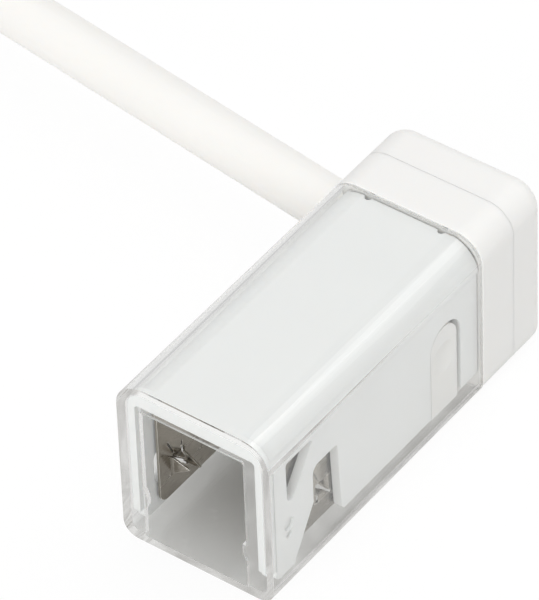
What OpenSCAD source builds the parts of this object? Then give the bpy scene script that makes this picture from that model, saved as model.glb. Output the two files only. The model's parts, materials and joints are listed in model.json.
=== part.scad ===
// Push-on power connector: a clear square sleeve over a white U-shaped shell, two pierced spring
// contacts beside an open mouth, and a two-part end block whose cable leaves sideways.
// Frame: the mouth faces -Y, the cable leaves towards -X and the sleeve rests on z = 0.
// The origin lies on the middle plane, on the table under the mouth's rim. Sizes are in millimetres.

/* [Body] */
// Width of the sleeve and the end block
body_w = 20; // [19.6:0.1:20.6]
// Height of the sleeve and the end block
body_h = 22.7; // [22.3:0.1:23.6]
// Length of the clear sleeve, from the mouth to the end block
sleeve_len = 39.2; // [39:0.1:42]
// Length of the end block
block_len = 12; // [11.2:0.1:14]
// Radius of the two upper long edges
top_radius = 3.4; // [2.8:0.1:3.6]
// Radius of the two lower long edges of the sleeve
bottom_radius = 1.9; // [1.4:0.1:2]

/* [Walls] */
// Wall of the clear sleeve
sleeve_wall = 1; // [0.9:0.05:1]
// Wall of the white shell
shell_wall = 1.2; // [1:0.05:1.2]
// Wall of the end block
block_wall = 1.2; // [1:0.05:1.2]
// Thickness of the contact strip
plate_t = 0.3; // [0.2:0.05:0.3]
// Clear gap between parts that slide together
slip = 0.1; // [0.08:0.01:0.12]

/* [Mouth] */
// Clear width between the lip's inner faces
mouth_w = 13.6; // [12.8:0.1:13.8]
// Height of the lip's upper inner edge
mouth_top = 19.5; // [19:0.1:19.5]
// Depth of the lip, which the shell's front frame stands behind
lip_depth = 0.6; // [0.5:0.05:0.8]
// How far the two coding nibs stand into the mouth
nib_reach = 0.5; // [0.3:0.05:0.7]
// How far the mouth sits to the left of the middle
mouth_shift = 0.2; // [0:0.05:0.3]

/* [Cable] */
// Radius of the round cable
cable_r = 3.25; // [3:0.05:3.3]
// How far the cable leans back from square to the block, in degrees
cable_turn = 8; // [5:0.5:9]
// Distance from the block's middle plane to the end of the cable's jacket
cable_end = 85; // [30:1:150]

/* [Hidden] */
$fn = 64;
eps = 0.01;

half_w = body_w / 2;
body_len = sleeve_len + block_len;

// Shell faces, measured from the middle plane and from the table.
shell_out = half_w - sleeve_wall - slip;
shell_in = shell_out - shell_wall;
shell_top = body_h - sleeve_wall - slip;
shell_roof = shell_top - shell_wall;
shell_edge_r = 3.3;
shell_front = lip_depth + slip;
frame_rear = shell_front + 0.7;     // the front frame has fuller corners and a deeper roof
shell_rear = sleeve_len - 0.25;
shell_foot = 2.2;
shell_step = 3.2;           // the foot steps up to this height behind step_y
step_y = 13;
shell_heel = 3.5;           // and up to this one behind heel_y
heel_y = 30.4;
crease_z = 18.3;            // below this the side faces are set in by crease_step
crease_step = 0.12;
frame_out = shell_out - 0.1;
frame_in = shell_in + 0.15;
frame_roof = 19.8;
frame_foot = 3.8;
frame_r = top_radius - sleeve_wall - slip - 0.1;

// Contact strips.
plate_out = shell_in - 0.25;
plate_in = plate_out - plate_t;
plate_front = 3.1;
plate_foot = 3.1;
plate_head = 18.6;
tail_low = 8;
tail_high = 14;
star_places = [[6.4, 7.2], [11.8, 7]];      // y and z of the pierced stars
star_half = 1.4;                            // half the side of the pierced square
star_slits = [[114, 4.2], [70, 2.4], [215, 2.2], [311, 2.6]];   // angle and reach of its slits
petal_forms = [[0, 0.8, 0.8], [90, 1.7, 1.8], [180, 0.8, 0.7], [270, 1.2, 2.5]];
                                            // turn, half of the root's width and reach
petal_t = 0.22;
petal_bend = 80;                            // degrees
petal_bend_r = 0.4;
tab_y = 29;
tab_half = 1.7;

// Carrier behind the mouth.
carrier_front = 24;
carrier_waist = 29.9;
carrier_rear = sleeve_len - 0.1;
carrier_floor = sleeve_wall + slip;
carrier_half = shell_in - 0.1;
waist_half = 4.4;
terminal_x = 2.1;
terminal_w = 3.4;
terminal_h = 7.6;
terminal_front = 28.1;
terminal_rear = 34.9;
clamp_y = 32.1;

// Cable and cores. The cores lie one above the other.
exit_y = sleeve_len + 5.1;
cable_y = exit_y - half_w * tan(cable_turn);
cable_z = body_h / 2;
jacket_start = 6.6;         // measured along the cable from the block's middle plane
grip_end = 12;              // the collar and the ring squeeze the sheath up to here
squeeze = 0.2;
grip_r = cable_r - squeeze;
core_r = 1.1;
core_rise = 1.2;
wire_r = 0.55;
core_turn_r = 3.4;
core_bare_y = 36;
wire_tip_y = 30.1;
strip_len = 8;
ferrule_r = 0.75;
ferrule_len = 6;

// End block.
cavity_front = sleeve_len + 1.2;
cavity_rear = body_len - block_wall;
split_y = sleeve_len + 6;
block_edge_r = 2;
block_front_r = 0.3;
block_low_r = 2.1;          // radius of the lower long edges of the block
cover_screw_places = [[3.8, 3.4], [-3.8, 18.6]];    // x and z
carrier_screw_heights = [3.3, 18.5];
screw_r = 0.8;
screw_clear = 0.08;

// Snap arms with their round-topped pads. Each arm has a round root in a seat of the block.
arm_in = 6.3;
arm_t = 1.25;
arm_z = 3;
arm_h = 4.4;
arm_pivot_x = 7;
arm_pivot_y = 42.4;
arm_root_r = 1.4;
pad_out = shell_out - crease_step - 0.03;
pad_y = 32.65;
pad_r = 2.45;
pad_arch_z = 12.6;
keyhole_y = 32.95;
keyhole_r = 2.85;

// Extrudes an outline drawn in x and z from y0 to y1.
module along_y(y0, y1) translate([0, y1, 0]) rotate([90, 0, 0]) linear_extrude(y1 - y0) children();

// Extrudes an outline drawn in y and z from x0 to x1.
module along_x(x0, x1) translate([x0, 0, 0]) rotate([90, 0, 90]) linear_extrude(x1 - x0) children();

module both_sides() {
    children();
    mirror([1, 0, 0]) children();
}

// What is cut off a square corner to round it; the corner points to +x and +z.
module corner_cut(r) translate([-r, -r]) difference() {
    square(r + 1);
    circle(r);
}

// Outline of width w from z0 to z1 with its own upper and lower corner radii.
module section(w, z0, z1, r_top, r_bottom) difference() {
    translate([-w / 2, z0]) square([w, z1 - z0]);
    both_sides() {
        translate([w / 2, z1]) corner_cut(r_top);
        if (r_bottom > 0) translate([w / 2, z0]) mirror([0, 1]) corner_cut(r_bottom);
    }
}

// ---------- clear sleeve ----------

// Coding nib on the right-hand lip: flat on top and sloped below.
module nib_right() along_y(0, lip_depth) translate([mouth_w / 2, 0])
    polygon([[0.2, 4.9], [0, 4.9], [-nib_reach, 5.7], [-nib_reach, 7.2], [0.2, 7.2]]);

// Coding nib on the left-hand lip: a shallow round swelling.
module nib_left() along_y(0, lip_depth) translate([-mouth_w / 2, 0]) intersection() {
    translate([nib_reach - 2.7, 6.4]) circle(2.7);
    translate([-0.2, 4]) square([1, 4.8]);
}

module clear_sleeve() color([0.88, 0.9, 0.9, 0.35]) {
    difference() {
        along_y(0, sleeve_len) section(body_w, 0, body_h, top_radius, bottom_radius);
        along_y(lip_depth, sleeve_len + 1) section(body_w - 2 * sleeve_wall, sleeve_wall,
            body_h - sleeve_wall, top_radius - sleeve_wall, bottom_radius - sleeve_wall);
        translate([-mouth_shift, 0, 0])
            along_y(-1, lip_depth + 1) section(mouth_w, sleeve_wall, mouth_top, 0.4, 0);
    }
    translate([-mouth_shift, 0, 0]) {
        nib_right();
        nib_left();
    }
}

// ---------- white shell ----------

module shell_section() difference() {
    section(2 * shell_out, shell_foot, shell_top, shell_edge_r, 0);
    section(2 * shell_in, 0, shell_roof, shell_edge_r - shell_wall, 0);
}

module front_frame() difference() {
    section(2 * frame_out, frame_foot, shell_top, frame_r, 0);
    section(2 * frame_in, 0, frame_roof, 0.5, 0);
}

module triangle_window() hull() {
    translate([4.1, 17.4]) circle(0.4);
    translate([8, 17.4]) circle(0.4);
    translate([4.5, 12.8]) circle(0.7);
}

// Opening of the contact's side window, and the slanted heel of the front tongue.
module side_notch() {
    hull() {
        translate([9.5, 12.4]) circle(1.1);
        translate([12.4, 13]) circle(0.5);
        translate([8.4, 8.4]) square([4.7, 0.1]);
    }
    polygon([[8.4, 8.5], [13.1, 8.5], [13.5, shell_foot - 1], [4.3, shell_foot - 1], [5, 2.9]]);
}

// Shallow recess in the right side, in front of the notch.
module side_recess() {
    translate([3.95, 8.8]) circle(0.85);
    translate([3.9, 7.3]) circle(0.5);
}

// Openings that only the left side has: a slot before the pierced star and a hole behind it.
module left_openings() {
    for (z = [7, 9.5]) translate([3.95, z]) circle(1.1);
    translate([2.85, 7]) square([2.2, 2.5]);
    translate([7.1, 6.2]) circle(0.9);
}

// Steps of the shell's foot, with a rounded corner where the first one begins.
module foot_steps() {
    translate([step_y, 0]) square([sleeve_len, shell_step]);
    translate([13.45, shell_step]) rotate(180) corner_cut(0.6);
    translate([heel_y, 0]) square([sleeve_len, shell_heel]);
}

module keyhole() {
    translate([keyhole_y, pad_arch_z - 0.1]) circle(keyhole_r);
    translate([keyhole_y - keyhole_r, 0]) square([2 * keyhole_r, pad_arch_z - 0.1]);
}

module inner_shell() color("whitesmoke") difference() {
    union() {
        along_y(shell_front, frame_rear) front_frame();
        along_y(frame_rear - eps, shell_rear) shell_section();
    }
    both_sides() {
        along_x(shell_in - 1, shell_out + 1) {
            triangle_window();
            side_notch();
            keyhole();
            foot_steps();
            translate([frame_rear - eps, shell_foot]) rotate(180) corner_cut(0.7);
        }
        translate([shell_out - crease_step, frame_rear, 0]) cube([1, sleeve_len, crease_z]);
        translate([4.85, shell_rear, shell_roof - 1]) cylinder(h = shell_wall + 2, r = 0.45);
    }
    along_x(shell_out - crease_step - 0.35, shell_out + 1) side_recess();
    mirror([1, 0, 0]) along_x(shell_in - 1, shell_out + 1) left_openings();
}

// ---------- spring contacts ----------

module plate_outline() difference() {
    union() {
        translate([plate_front, plate_foot])
            square([carrier_front - plate_front - 0.3, plate_head - plate_foot]);
        translate([plate_front + 5, tail_low])
            square([tab_y + plate_t - plate_front - 5, tail_high - tail_low]);
    }
    translate([plate_front, plate_foot]) rotate(180) corner_cut(1.3);
    translate([plate_front, plate_head]) rotate(90) corner_cut(1.3);
}

module star_hole() along_x(-1, 1) {
    square(2 * star_half, center = true);
    for (slit = star_slits) rotate(slit[0]) translate([0, -0.13]) square([slit[1], 0.26]);
}

// Point of a petal's bend at radius r and angle a.
function bend_point(r, a) = [star_half - r * sin(a), petal_t + petal_bend_r - r * cos(a)];

// Point at the same radius at the tip of a petal that reaches that far beyond its bend.
function tip_point(r, reach) = bend_point(r, petal_bend) + reach * [-cos(petal_bend), sin(petal_bend)];

// Side view of one petal: x runs outwards from the star's middle and y into the mouth.
module petal_profile(reach) polygon(concat(
    [[star_half + 0.2, 0]],
    [for (a = [0 : 10 : petal_bend]) bend_point(petal_bend_r + petal_t, a)],
    [tip_point(petal_bend_r + petal_t, reach), tip_point(petal_bend_r, reach)],
    [for (a = [petal_bend : -10 : 0]) bend_point(petal_bend_r, a)],
    [[star_half + 0.2, petal_t]]));

// Face view of one petal, which tapers to its tip.
module petal_face(root, reach) polygon([[-root, -1], [root, -1], [root, 0], [root * 0.65, 0.4],
    [0.06, reach + 0.5], [-0.06, reach + 0.5], [-root * 0.65, 0.4], [-root, 0]]);

module petal(root, reach) intersection() {
    rotate([90, 0, 0]) linear_extrude(4, center = true) petal_profile(reach);
    rotate([90, 0, 90]) linear_extrude(6, center = true) petal_face(root, reach);
}

// Petals round one star, bent in towards the mouth; drawn for the strip at +x.
module petals() for (form = petal_forms) rotate([form[0], 0, 0]) rotate([0, -90, 0])
    petal(form[1], form[2]);

module contact() {
    difference() {
        along_x(plate_in, plate_out) plate_outline();
        for (place = star_places) translate([plate_out, place[0], place[1]])
            star_hole();
    }
    for (place = star_places) translate([plate_out - 0.02, place[0], place[1]]) petals();
    translate([terminal_x + 0.5, tab_y, cable_z - tab_half])
        cube([plate_out - terminal_x - 0.5, plate_t, 2 * tab_half]);
}

module contact_right() color("silver") contact();
module contact_left() color("silver") mirror([1, 0, 0]) contact();

// ---------- carrier, terminals and their screws ----------

// Places a child drawn at the +x terminal there, and a second one turned over at -x.
module both_terminals() {
    children();
    terminal_turned() children();
}

module terminal_turned() translate([0, 0, cable_z]) rotate([0, 180, 0]) translate([0, 0, -cable_z])
    children();

module carrier_cuts() {
    both_sides() {
        translate([plate_in - 0.12, carrier_front - 1, tail_low - slip])
            cube([5, tab_y + plate_t + 0.2 - carrier_front + 1, tail_high - tail_low + 2 * slip]);
        translate([terminal_x, tab_y - 0.2, cable_z - tab_half - 0.2])
            cube([9, plate_t + 0.4, 2 * tab_half + 0.4]);
    }
    both_terminals() {
        translate([terminal_x - terminal_w / 2 - 0.05, terminal_front - 0.05,
            cable_z - terminal_h / 2 - 0.05])
            cube([terminal_w + 0.1, sleeve_len, terminal_h + 0.1]);
        translate([terminal_x, clamp_y, cable_z]) cylinder(h = 20, r = 1.5);
    }
    carrier_screw_holes(carrier_rear + 1);
}

module contact_carrier() color("lightgray") difference() {
    union() {
        along_y(carrier_front, carrier_waist) section(2 * carrier_half, carrier_floor,
            shell_roof - slip, shell_edge_r - shell_wall, 1.2);
        along_y(carrier_waist - eps, carrier_rear) section(2 * waist_half, carrier_floor,
            shell_roof - slip, 0.5, 0.5);
    }
    carrier_cuts();
}

module terminal() difference() {
    translate([terminal_x - terminal_w / 2, terminal_front, cable_z - terminal_h / 2])
        cube([terminal_w, terminal_rear - terminal_front, terminal_h]);
    translate([terminal_x, wire_tip_y - 0.4, cable_z + core_rise]) rotate([-90, 0, 0])
        cylinder(h = 10, r = wire_r + 0.15);
    translate([terminal_x, clamp_y, cable_z + core_rise]) cylinder(h = 10, r = 0.9);
    translate([terminal_x + 0.3, tab_y - 0.15, cable_z - tab_half - 0.2])
        cube([5, plate_t + 0.3, 2 * tab_half + 0.4]);
}

module terminal_right() color("goldenrod") terminal();
module terminal_left() color("goldenrod") terminal_turned() terminal();

// Slotted screw along +z, its head's underside at z = 0 and its shank reaching down.
module screw(shank, r, head_r, head_h) difference() {
    union() {
        translate([0, 0, -shank]) cylinder(h = shank + eps, r = r);
        cylinder(h = head_h, r = head_r);
    }
    translate([-head_r - 1, -0.2, head_h * 0.45]) cube([2 * head_r + 2, 0.4, head_h]);
}

module terminal_screws() color("silver") both_terminals()
    translate([terminal_x, clamp_y, cable_z + terminal_h / 2 + 0.1])
        screw(terminal_h / 2 + 0.1 - core_rise - wire_r - 0.02, 0.85, 1.3, 1);

module carrier_screws() color("silver") for (z = carrier_screw_heights)
    translate([0, cavity_front, z]) rotate([-90, 0, 0]) screw(7, screw_r, 1.6, 1.1);

// ---------- snap arms ----------

module pad_outline() {
    translate([pad_y, pad_arch_z]) circle(pad_r);
    translate([pad_y - pad_r, arm_z]) square([2 * pad_r, pad_arch_z - arm_z]);
}

module latch() difference() {
    union() {
        translate([arm_in, pad_y, arm_z]) cube([arm_t, arm_pivot_y - pad_y, arm_h]);
        along_x(arm_in, pad_out) pad_outline();
        translate([arm_pivot_x, arm_pivot_y, arm_z]) cylinder(h = arm_h, r = arm_root_r);
    }
    translate([pad_out + 7.7, pad_y, 10.6]) sphere(8);
}

module latch_right() color("white") latch();
module latch_left() color("white") mirror([1, 0, 0]) latch();

// ---------- end block ----------

// Profile of a block edge: 0 to r across, front to rear, with its outer corners rounded.
module edge_profile(r) difference() {
    translate([0, sleeve_len]) square([r, block_len]);
    translate([r, body_len]) corner_cut(block_edge_r);
    translate([r, sleeve_len]) mirror([0, 1]) corner_cut(block_front_r);
}

// Rounded long edge of radius r; its axis lies along Y and it fills the upper right quarter.
module edge_post(r) rotate([-90, 0, 0]) mirror([0, 1, 0]) rotate_extrude(angle = 90) edge_profile(r);

// Solid of the whole block, its rear edges rounded all the way round.
module block_solid() {
    core_half = half_w - top_radius;
    both_sides() {
        translate([core_half, 0, body_h - top_radius]) edge_post(top_radius);
        translate([half_w - block_low_r, 0, block_low_r]) mirror([0, 0, 1]) edge_post(block_low_r);
        translate([core_half, 0, block_low_r]) linear_extrude(body_h - top_radius - block_low_r)
            edge_profile(top_radius);
    }
    translate([0, 0, body_h - top_radius]) along_x(-core_half, core_half) mirror([1, -1, 0])
        edge_profile(top_radius);
    translate([0, 0, block_low_r]) mirror([0, 0, 1])
        along_x(block_low_r - half_w, half_w - block_low_r) mirror([1, -1, 0])
            edge_profile(block_low_r);
    translate([-core_half, sleeve_len, block_low_r])
        cube([2 * core_half, block_len, body_h - top_radius - block_low_r]);
}

module block_cavity() along_y(cavity_front, cavity_rear) section(body_w - 2 * block_wall,
    block_wall, body_h - block_wall, top_radius - block_wall, block_low_r - block_wall);

module cover_boss() along_y(cavity_front - eps, cavity_rear + eps) for (p = cover_screw_places)
    translate(p) circle(1.7);

module exit_hole() translate([-half_w - 1, exit_y, cable_z]) rotate([0, 90, 0])
    cylinder(h = 3, r = 3.55);

// Openings of the block's front wall: two for the snap arms and one for the cores.
module front_windows() {
    both_sides() translate([5.5, sleeve_len - 4, arm_z - 0.3]) cube([2.6, 8, arm_h + 0.6]);
    translate([-3.9, sleeve_len - 1, 5.6]) cube([7.8, 4, 10.4]);
}

// Seat round the root of one snap arm, open to the rear where the cover closes it.
module arm_seat() difference() {
    translate([4.9, cavity_front - eps, arm_z - 0.8])
        cube([half_w - 4.9 - eps, arm_pivot_y + 1.6 - cavity_front, arm_h + 0.8]);
    translate([arm_pivot_x, arm_pivot_y, arm_z - 0.1]) {
        cylinder(h = arm_h + 1, r = arm_root_r + 0.05);
        translate([-arm_root_r - 0.05, 0, 0]) cube([2 * arm_root_r + 0.1, 4, arm_h + 1]);
    }
}

// Spigots of the block's front wall that hold the shell's rear end from inside.
module shell_spigots() difference() {
    along_y(36.9, sleeve_len + eps) section(2 * carrier_half, carrier_floor, shell_roof - slip,
        shell_edge_r - shell_wall, 0.5);
    translate([-waist_half - 0.3, 30, 0]) cube([2 * waist_half + 0.6, 20, body_h]);
    translate([-half_w, 30, arm_z - 0.3]) cube([body_w, 20, 15.5 - arm_z]);
}

module screw_holes(places, y) for (p = places) translate([p[0], y, p[1]]) rotate([90, 0, 0])
    cylinder(h = 8, r = screw_r + screw_clear);

module carrier_screw_holes(y) for (z = carrier_screw_heights) translate([0, y, z])
    rotate([90, 0, 0]) cylinder(h = 8, r = screw_r + screw_clear);

module end_block_body() color("white") difference() {
    union() {
        difference() {
            block_solid();
            block_cavity();
        }
        intersection() {
            block_solid();
            union() {
                cover_boss();
                both_sides() arm_seat();
            }
        }
        shell_spigots();
    }
    translate([-half_w - 1, split_y, -1]) cube([body_w + 2, block_len, body_h + 2]);
    front_windows();
    exit_hole();
    screw_holes(cover_screw_places, cavity_rear);
    carrier_screw_holes(cavity_front + 1);
}

// The cover's ribs close the seats of the snap arms.
module end_block_cover() color("white") difference() {
    union() {
        difference() {
            block_solid();
            block_cavity();
            translate([-half_w - 1, sleeve_len - 1, -1])
                cube([body_w + 2, split_y - sleeve_len + 1.02, body_h + 2]);
        }
        intersection() {
            cover_boss();
            translate([-half_w, split_y + 0.02, 0]) cube([body_w, block_len, body_h]);
        }
        both_sides() translate([arm_pivot_x - 1.2, arm_pivot_y + arm_root_r + 0.05, arm_z])
            cube([2.4, cavity_rear + eps - arm_pivot_y - arm_root_r - 0.05, arm_h]);
    }
    exit_hole();
    screw_holes(cover_screw_places, body_len + 1);
    for (p = cover_screw_places) translate([p[0], body_len + 1, p[1]]) rotate([90, 0, 0])
        cylinder(h = 2.2, r = 1.55);
}

module cover_screws() color("silver") for (p = cover_screw_places)
    translate([p[0], body_len - 1.2, p[1]]) rotate([-90, 0, 0]) screw(6.4, screw_r, 1.45, 0.9);

// ---------- cable ----------

// Places a child, drawn along +z from the middle of the block, on the axis of the cable.
module cable_axis() translate([0, cable_y, cable_z]) rotate([0, 0, -cable_turn])
    rotate([0, -90, 0]) children();

module cable_collar() color("white") difference() {
    translate([-half_w, exit_y, cable_z]) rotate([0, -90, 0]) {
        translate([0, 0, 0.05]) cylinder(h = 1.2, r = 3.75);
        translate([0, 0, -block_wall - 0.1]) cylinder(h = block_wall + 0.2, r = 3.5);
        translate([0, 0, -block_wall - 0.65]) cylinder(h = 0.6, r = 3.75);
    }
    cable_axis() cylinder(h = 20, r = grip_r + 0.02);
}

// The sheath is a little thinner from its inner end to where it clears the collar.
module cable_jacket() color("white") difference() {
    cable_axis() {
        translate([0, 0, jacket_start]) cylinder(h = grip_end - jacket_start + eps, r = grip_r);
        translate([0, 0, grip_end]) cylinder(h = cable_end - grip_end, r = cable_r);
    }
    for (side = [-1, 1]) cable_axis() translate([side * core_rise, 0, 0])
        cylinder(h = cable_end + 1, r = core_r + 0.02);
}

// Where a core that ends at the terminal at x leaves the cable's axis, and where its turn ends.
function turn_end_x(x) = x - core_turn_r * (1 - sin(cable_turn));
function turn_start(x) = -turn_end_x(x) / cos(cable_turn);
function turn_y(x) = cable_y - tan(cable_turn) * turn_end_x(x) - core_turn_r * cos(cable_turn);

// Core at a height of rise above the cable's axis: out along the cable to far_len, and inside
// the block round its turn to the terminal at x. The turn is a hair thicker than the rest.
module core_run(r, rise, x, terminal_end, far_len) {
    cable_axis() translate([rise, 0, turn_start(x) - 0.1])
        cylinder(h = far_len - turn_start(x) + 0.1, r = r);
    translate([x, turn_y(x) + 0.1, cable_z + rise]) rotate([90, 0, 0])
        cylinder(h = turn_y(x) + 0.1 - terminal_end, r = r);
    translate([x - core_turn_r, turn_y(x), cable_z + rise])
        rotate_extrude(angle = 90 - cable_turn) translate([core_turn_r, 0]) circle(r + 0.03);
}

module core_insulation(rise, x) difference() {
    core_run(core_r, rise, x, core_bare_y, cable_end + strip_len);
    core_run(wire_r + 0.01, rise, x, core_bare_y - 1, cable_end + strip_len + 1);
}

module conductor(rise, x)
    core_run(wire_r, rise, x, wire_tip_y, cable_end + strip_len + ferrule_len);

module core_insulation_upper() color("saddlebrown") core_insulation(core_rise, terminal_x);
module core_insulation_lower() color("steelblue") core_insulation(-core_rise, -terminal_x);
module conductor_upper() color("peru") conductor(core_rise, terminal_x);
module conductor_lower() color("peru") conductor(-core_rise, -terminal_x);

// Ferrules crimped on the two stripped ends.
module wire_ferrules() color("silver") for (side = [-1, 1])
    cable_axis() translate([side * core_rise, 0, cable_end + strip_len + 0.05]) difference() {
        union() {
            cylinder(h = 1.6, r1 = core_r, r2 = ferrule_r);
            cylinder(h = ferrule_len + 0.3, r = ferrule_r);
        }
        translate([0, 0, -1]) cylinder(h = ferrule_len + 1, r = wire_r + 0.02);
    }

// Ring crimped on the jacket behind the exit hole, so that the cable cannot pull out.
module strain_ring() color("silver") cable_axis() translate([0, 0, jacket_start]) difference() {
    cylinder(h = 1, r = grip_r + 0.25);
    translate([0, 0, -1]) cylinder(h = 4, r = grip_r + 0.02);
}

clear_sleeve();
inner_shell();
contact_left();
contact_right();
contact_carrier();
carrier_screws();
terminal_left();
terminal_right();
terminal_screws();
latch_left();
latch_right();
end_block_body();
end_block_cover();
cover_screws();
cable_collar();
cable_jacket();
core_insulation_upper();
core_insulation_lower();
conductor_upper();
conductor_lower();
wire_ferrules();
strain_ring();
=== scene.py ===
"""Looks of the push-on power adapter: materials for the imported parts, the camera and the studio."""

import json
import math

import bpy
from mathutils import Matrix, Vector

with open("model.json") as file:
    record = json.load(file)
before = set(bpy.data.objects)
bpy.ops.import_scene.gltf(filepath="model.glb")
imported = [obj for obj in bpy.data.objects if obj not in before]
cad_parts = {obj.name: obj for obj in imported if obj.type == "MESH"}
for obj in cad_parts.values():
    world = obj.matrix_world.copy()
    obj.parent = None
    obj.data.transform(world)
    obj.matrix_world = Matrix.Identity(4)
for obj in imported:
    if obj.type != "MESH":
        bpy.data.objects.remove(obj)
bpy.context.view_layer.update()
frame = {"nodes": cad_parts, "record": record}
nodes = frame["nodes"]
MM = 0.001

# How the sheath and the white plastics scatter light: reach of red, green and blue, in metres.
SCATTER = (4 * MM, 3.5 * MM, 3 * MM)

# Places in the sleeve, in metres: where painted shade greys its lower edge, and where the painted
# glow of its walls turns pale towards the top, as if lit from above.
FOOT_CLEAR = 3 * MM
FOOT_SHADED = 2.6 * MM
MOUTH_CLEAR = 4 * MM
MOUTH_SHADED = 12 * MM
TOP_START = 19.5 * MM
TOP_END = 21.5 * MM

# Rays that have met this many faces end in a painted glow, standing in for the light that a thick
# edge carries.
DEEPEST_RAY = 3.5

# The camera's place in units of the sleeve's width, found from the object's edges.
SLEEVE_WIDTH = 20 * MM
CAMERA_TURN = (37.6213, 43.0467, -2.2772)
CAMERA_SHIFT = (0.39666, 1.02505, 33.1993)
CAMERA_TARGET = (0, 0, 0.56743)
CAMERA_LENS = 375.77


# ---------- shader helpers ----------


def new_material(name):
    """Returns a material with its node tree, its Principled node and its output."""
    material = bpy.data.materials.new(name)
    material.use_nodes = True
    tree = material.node_tree
    return material, tree, tree.nodes["Principled BSDF"], tree.nodes["Material Output"]


def add(tree, kind, **values):
    """Adds a shader node; keyword arguments set its properties or its inputs by name."""
    node = tree.nodes.new(kind)
    for key, value in values.items():
        if hasattr(node, key):
            setattr(node, key, value)
        else:
            node.inputs[key.replace("_", " ")].default_value = value
    return node


def grain(tree, scale, detail=4.0, stretch=(1, 1, 1)):
    """Noise in the object's own coordinates; scale is in features per metre."""
    coords = add(tree, "ShaderNodeTexCoord")
    mapping = add(tree, "ShaderNodeMapping")
    mapping.inputs["Scale"].default_value = stretch
    noise = add(tree, "ShaderNodeTexNoise", Scale=scale, Detail=detail)
    tree.links.new(coords.outputs["Object"], mapping.inputs["Vector"])
    tree.links.new(mapping.outputs["Vector"], noise.inputs["Vector"])
    return noise.outputs["Fac"]


def spread(tree, factor, low, high):
    """Maps a 0 to 1 factor to a value between low and high."""
    node = add(tree, "ShaderNodeMapRange", To_Min=low, To_Max=high)
    node.inputs["From Min"].default_value = 0.3
    node.inputs["From Max"].default_value = 0.7
    tree.links.new(factor, node.inputs["Value"])
    return node.outputs["Result"]


def tint(tree, factor, first, second):
    """Mixes two colours, each given as three numbers or as a socket, by a factor."""
    node = add(tree, "ShaderNodeMix", data_type="RGBA")
    for socket, colour in ((node.inputs[6], first), (node.inputs[7], second)):
        if isinstance(colour, tuple):
            socket.default_value = (*colour, 1)
        else:
            tree.links.new(colour, socket)
    tree.links.new(factor, node.inputs[0])
    return node.outputs[2]


def mix_shaders(tree, factor, first, second):
    """Mixes two shader sockets by a factor."""
    node = add(tree, "ShaderNodeMixShader")
    for socket, source in zip(node.inputs, (factor, first, second)):
        tree.links.new(source, socket)
    return node.outputs["Shader"]


def bump(tree, shader, height, distance, strength=1.0, edge=0.0):
    """Adds a bump, and softens sharp edges in the shading by a radius of edge."""
    node = add(tree, "ShaderNodeBump", Strength=strength, Distance=distance)
    tree.links.new(height, node.inputs["Height"])
    if edge:
        soft = add(tree, "ShaderNodeBevel", samples=4, Radius=edge)
        tree.links.new(soft.outputs["Normal"], node.inputs["Normal"])
    tree.links.new(node.outputs["Normal"], shader.inputs["Normal"])


# ---------- materials ----------


def plastic(name, colour, roughness, texture_scale, texture_depth, glow=0.0):
    """Moulded plastic with a fine eroded grain and slightly uneven gloss."""
    material, tree, shader, _ = new_material(name)
    coarse = grain(tree, 90.0, 3.0)
    fine = grain(tree, texture_scale, 5.0)
    darker = tuple(channel * 0.97 for channel in colour)
    tree.links.new(tint(tree, coarse, darker, colour), shader.inputs["Base Color"])
    rough = spread(tree, fine, roughness - 0.05, roughness + 0.06)
    tree.links.new(rough, shader.inputs["Roughness"])
    shader.inputs["Subsurface Weight"].default_value = glow
    shader.inputs["Subsurface Radius"].default_value = SCATTER
    shader.inputs["Subsurface Scale"].default_value = 0.3
    bump(tree, shader, fine, texture_depth, 0.5, 0.12 * MM)
    return material


def ramp_along(tree, axis, start, end, first=0.0, last=1.0):
    """Value that goes from first to last between two places along an axis of the object."""
    coords = add(tree, "ShaderNodeTexCoord")
    place = add(tree, "ShaderNodeSeparateXYZ")
    tree.links.new(coords.outputs["Object"], place.inputs[0])
    node = add(tree, "ShaderNodeMapRange", To_Min=first, To_Max=last)
    node.inputs["From Min"].default_value = start
    node.inputs["From Max"].default_value = end
    tree.links.new(place.outputs[axis], node.inputs["Value"])
    return node.outputs["Result"]


def darken_towards_foot(tree, colour, low, high, share):
    """Paints shade: darkens a colour to a share of itself from the height high down to the height
    low.
    """
    scaled = add(tree, "ShaderNodeVectorMath", operation="SCALE")
    tree.links.new(colour, scaled.inputs[0])
    tree.links.new(ramp_along(tree, "Z", low, high, share), scaled.inputs["Scale"])
    return scaled.outputs[0]


def edge_mask(tree, radius):
    """1 within a radius of a sharp edge and 0 on the flat faces."""
    soft = add(tree, "ShaderNodeBevel", samples=8, Radius=radius)
    face = add(tree, "ShaderNodeNewGeometry")
    both = add(tree, "ShaderNodeVectorMath", operation="DOT_PRODUCT")
    tree.links.new(soft.outputs["Normal"], both.inputs[0])
    tree.links.new(face.outputs["Normal"], both.inputs[1])
    mask = add(tree, "ShaderNodeMapRange")
    mask.inputs["From Min"].default_value = 0.98
    mask.inputs["From Max"].default_value = 0.85
    tree.links.new(both.outputs["Value"], mask.inputs["Value"])
    return mask.outputs["Result"]


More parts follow.
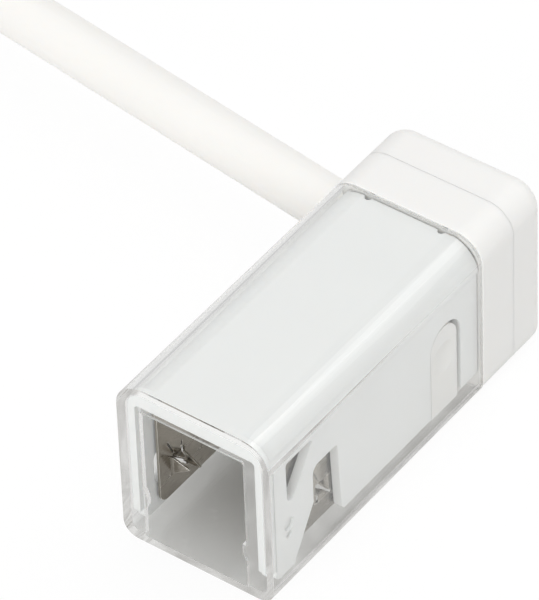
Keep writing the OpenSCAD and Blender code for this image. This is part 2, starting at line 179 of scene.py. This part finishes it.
def metal(name, dark, light, roughness, stretch=(1, 1, 1), depth=0.004 * MM, crevice_shade=0.0,
          lower_shade=None):
    """Stamped or turned metal: streaked colour and gloss along one direction, with painted shade in
    its crevices and, if a lower shade is given, painted shade towards its lower edge and a painted
    highlight on its cut edges."""
    material, tree, shader, _ = new_material(name)
    streaks = grain(tree, 2600.0, 6.0, stretch)
    stains = grain(tree, 260.0, 3.0)
    colour = tint(tree, spread(tree, stains, 0.0, 1.0), dark, light)
    # Painted shade: the colour darkens to near black where little open sky reaches, in crevices and
    # slits.
    if crevice_shade:
        open_sky = add(tree, "ShaderNodeAmbientOcclusion", samples=8, Distance=crevice_shade)
        colour = tint(tree, open_sky.outputs["AO"], (0.03, 0.026, 0.022), colour)
    # Painted shade: the colour darkens towards the lower edge.
    if lower_shade:
        colour = darken_towards_foot(tree, colour, *lower_shade)
        # Painted highlight: sharp cut edges are lightened towards near white.
        colour = tint(tree, edge_mask(tree, 0.12 * MM), colour, (1.0, 0.97, 0.92))
    tree.links.new(colour, shader.inputs["Base Color"])
    rough = spread(tree, streaks, roughness - 0.08, roughness + 0.1)
    tree.links.new(rough, shader.inputs["Roughness"])
    shader.inputs["Metallic"].default_value = 1.0
    bump(tree, shader, streaks, depth, 0.6, 0.06 * MM)
    return material


def clear_plastic(name):
    """Clear polycarbonate, with painted shade that greys its lower edge. Light passes to what is
    behind it, and a ray that keeps bouncing between the faces of one wall ends in a painted glow, the
    pale grey of a thick edge, paler at the top as if lit from above."""
    material, tree, shader, output = new_material(name)
    ripple = grain(tree, 130.0, 2.0)
    # Painted shade: the base colour greys along the lower edge behind the mouth, standing in for the
    # shadow under the sleeve.
    painted_shade_band = add(tree, "ShaderNodeMath", operation="MULTIPLY")
    tree.links.new(ramp_along(tree, "Z", FOOT_CLEAR, FOOT_SHADED), painted_shade_band.inputs[0])
    tree.links.new(ramp_along(tree, "Y", MOUTH_CLEAR, MOUTH_SHADED), painted_shade_band.inputs[1])
    body = tint(tree, painted_shade_band.outputs[0], (0.99, 0.994, 0.992), (0.82, 0.82, 0.815))
    tree.links.new(body, shader.inputs["Base Color"])
    shader.inputs["Transmission Weight"].default_value = 1.0
    shader.inputs["IOR"].default_value = 1.5
    tree.links.new(spread(tree, ripple, 0.01, 0.03), shader.inputs["Roughness"])
    bump(tree, shader, ripple, 0.01 * MM, 0.2)
    path = add(tree, "ShaderNodeLightPath")
    soft = add(tree, "ShaderNodeMath", operation="MAXIMUM")
    tree.links.new(path.outputs["Is Shadow Ray"], soft.inputs[0])
    tree.links.new(path.outputs["Is Diffuse Ray"], soft.inputs[1])
    through = add(tree, "ShaderNodeBsdfTransparent", Color=(0.965, 0.965, 0.96, 1))
    lit = mix_shaders(tree, soft.outputs[0], shader.outputs["BSDF"], through.outputs["BSDF"])
    # Painted light: past this depth a ray ends in a grey emission instead of bouncing on.
    deep = add(tree, "ShaderNodeMath", operation="GREATER_THAN")
    deep.inputs[1].default_value = DEEPEST_RAY
    tree.links.new(path.outputs["Ray Depth"], deep.inputs[0])
    glow_streaks = spread(tree, grain(tree, 260.0, 2.0, (1, 1, 0.5)), 0.0, 1.0)
    painted_glow = add(tree, "ShaderNodeEmission", Strength=1.0)
    below = tint(tree, glow_streaks, (0.47, 0.46, 0.445), (0.74, 0.735, 0.72))
    # Painted light: the glow turns pale towards the top wall, as if lit from above.
    grey = tint(tree, ramp_along(tree, "Z", TOP_START, TOP_END), below, (0.9, 0.9, 0.89))
    tree.links.new(grey, painted_glow.inputs["Color"])
    seen = mix_shaders(tree, deep.outputs[0], lit, painted_glow.outputs["Emission"])
    tree.links.new(seen, output.inputs["Surface"])
    return material


def soft_sheath(name, colour):
    """Soft cable sheath with faint lines along its run."""
    material, tree, shader, _ = new_material(name)
    lines = grain(tree, 900.0, 3.0, (0.05, 1, 1))
    mottle = grain(tree, 70.0, 3.0)
    darker = tuple(channel * 0.96 for channel in colour)
    tree.links.new(tint(tree, mottle, darker, colour), shader.inputs["Base Color"])
    tree.links.new(spread(tree, lines, 0.42, 0.55), shader.inputs["Roughness"])
    shader.inputs["Subsurface Weight"].default_value = 0.25
    shader.inputs["Subsurface Radius"].default_value = SCATTER
    shader.inputs["Subsurface Scale"].default_value = 0.3
    bump(tree, shader, lines, 0.01 * MM, 0.5, 0.2 * MM)
    return material


def make_materials():
    """One material for each slot of the record."""
    return {
        "clear_plastic": clear_plastic("clear_plastic"),
        "shell_plastic": plastic("shell_plastic", (0.88, 0.892, 0.888), 0.4, 1800.0, 0.002 * MM,
                                 glow=0.1),
        "block_plastic": plastic("block_plastic", (0.88, 0.873, 0.855), 0.5, 2600.0, 0.008 * MM,
                                 glow=0.15),
        "carrier_plastic": plastic("carrier_plastic", (0.48, 0.472, 0.45), 0.5, 2200.0, 0.004 * MM),
        # Contact plates: painted shade in crevices and towards the lower edge, and a painted
        # highlight on cut edges.
        "contact_metal": metal("contact_metal", (0.48, 0.445, 0.39), (0.6, 0.56, 0.495), 0.2,
                               stretch=(1, 0.1, 1), depth=0.0003 * MM, crevice_shade=0.5 * MM,
                               lower_shade=(3 * MM, 14 * MM, 0.62)),
        "screw_steel": metal("screw_steel", (0.5, 0.5, 0.5), (0.68, 0.68, 0.7), 0.28),
        "terminal_brass": metal("terminal_brass", (0.62, 0.45, 0.2), (0.78, 0.62, 0.32), 0.3,
                                stretch=(1, 1, 0.08)),
        "cable_sheath": soft_sheath("cable_sheath", (0.93, 0.915, 0.885)),
        "brown_insulation": plastic("brown_insulation", (0.16, 0.07, 0.035), 0.35, 1500.0,
                                    0.004 * MM),
        "blue_insulation": plastic("blue_insulation", (0.03, 0.11, 0.36), 0.35, 1500.0, 0.004 * MM),
        "copper_wire": metal("copper_wire", (0.6, 0.3, 0.16), (0.85, 0.48, 0.3), 0.3,
                             stretch=(0.1, 1, 1)),
    }


def dress(materials):
    """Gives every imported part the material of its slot."""
    for entry in frame["record"]["subparts"]:
        part = nodes[entry["node"]]
        for slot in part.material_slots:
            slot.material = materials[entry["material_slot"]]


def soften_edges(name, width):
    """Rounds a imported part's sharp edges by a small radius."""
    part = nodes[name]
    weld = part.modifiers.new("weld", "WELD")
    weld.merge_threshold = 0.002 * MM
    bevel = part.modifiers.new("bevel", "BEVEL")
    bevel.width = width
    bevel.segments = 3
    bevel.limit_method = "ANGLE"
    bevel.angle_limit = math.radians(40)
    bevel.use_clamp_overlap = True
    bevel.harden_normals = False


# ---------- camera and studio ----------


def place_camera():
    """Long lens from the right front and above, turned a little about its own axis."""
    azimuth, elevation, roll = (math.radians(angle) for angle in CAMERA_TURN)
    flat = math.cos(elevation)
    back = Vector((math.sin(azimuth) * flat, -math.cos(azimuth) * flat, math.sin(elevation)))
    right = (-back).cross(Vector((0, 0, 1))).normalized()
    up = right.cross(-back)
    turned_right = math.cos(roll) * right + math.sin(roll) * up
    turned_up = -math.sin(roll) * right + math.cos(roll) * up
    data = bpy.data.cameras.new("camera")
    data.sensor_width = 36.0
    data.lens = CAMERA_LENS
    data.clip_start = 0.01
    camera = bpy.data.objects.new("camera", data)
    bpy.context.scene.collection.objects.link(camera)
    across, up_by, away = CAMERA_SHIFT
    shift = across * turned_right + up_by * turned_up + away * back
    place = SLEEVE_WIDTH * (Vector(CAMERA_TARGET) + shift)
    turn = Matrix((turned_right, turned_up, back)).transposed().to_4x4()
    camera.matrix_world = Matrix.Translation(place) @ turn
    bpy.context.scene.camera = camera


def soft_light(name, direction, distance, size, power):
    """Square soft light that points at the middle of the adapter."""
    target = Vector((0, 0.02, 0.01))
    data = bpy.data.lights.new(name, "AREA")
    data.shape = "SQUARE"
    data.size = size
    data.energy = power
    light = bpy.data.objects.new(name, data)
    bpy.context.scene.collection.objects.link(light)
    away = Vector(direction).normalized()
    light.location = target + away * distance
    light.rotation_mode = "QUATERNION"
    light.rotation_quaternion = away.to_track_quat("Z", "Y")


def build_floor():
    """Pale floor that reads as white, with only a trace of shading under the adapter."""
    mesh = bpy.data.meshes.new("floor")
    half = 3.0
    mesh.from_pydata([(-half, -half, 0), (half, -half, 0), (half, half, 0), (-half, half, 0)], [],
                     [(0, 1, 2, 3)])
    floor = bpy.data.objects.new("floor", mesh)
    bpy.context.scene.collection.objects.link(floor)
    material, tree, shader, output = new_material("floor")
    speckle = grain(tree, 40.0, 3.0)
    colour = tint(tree, speckle, (0.8, 0.8, 0.795), (0.84, 0.84, 0.835))
    tree.links.new(colour, shader.inputs["Base Color"])
    shader.inputs["Roughness"].default_value = 0.8
    shader.inputs["Specular IOR Level"].default_value = 0.1
    path = add(tree, "ShaderNodeLightPath")
    share = add(tree, "ShaderNodeMath", operation="MULTIPLY")
    share.inputs[1].default_value = 0.9
    bright = add(tree, "ShaderNodeEmission", Strength=1.02)
    tree.links.new(path.outputs["Is Camera Ray"], share.inputs[0])
    mix = mix_shaders(tree, share.outputs[0], shader.outputs["BSDF"], bright.outputs["Emission"])
    tree.links.new(mix, output.inputs["Surface"])
    floor.data.materials.append(material)
    floor.location.z = -0.05 * MM


def light_studio():
    """White surround with three soft lights."""
    world = bpy.data.worlds.new("surround")
    world.use_nodes = True
    background = world.node_tree.nodes["Background"]
    background.inputs["Color"].default_value = (1, 1, 1, 1)
    background.inputs["Strength"].default_value = 0.62
    bpy.context.scene.world = world
    bpy.context.scene.view_settings.view_transform = "Standard"
    soft_light("key", (0.1, -0.1, 1.0), 0.9, 0.7, 2.0)
    soft_light("edge", (0.2, 0.58, 0.75), 0.6, 0.55, 0.8)
    soft_light("front", (0.2, -1.0, 0.3), 0.8, 0.5, 2.3)


materials = make_materials()
dress(materials)
soften_edges("clear_sleeve", 0.15 * MM)
soften_edges("inner_shell", 0.12 * MM)
build_floor()
place_camera()
light_studio()
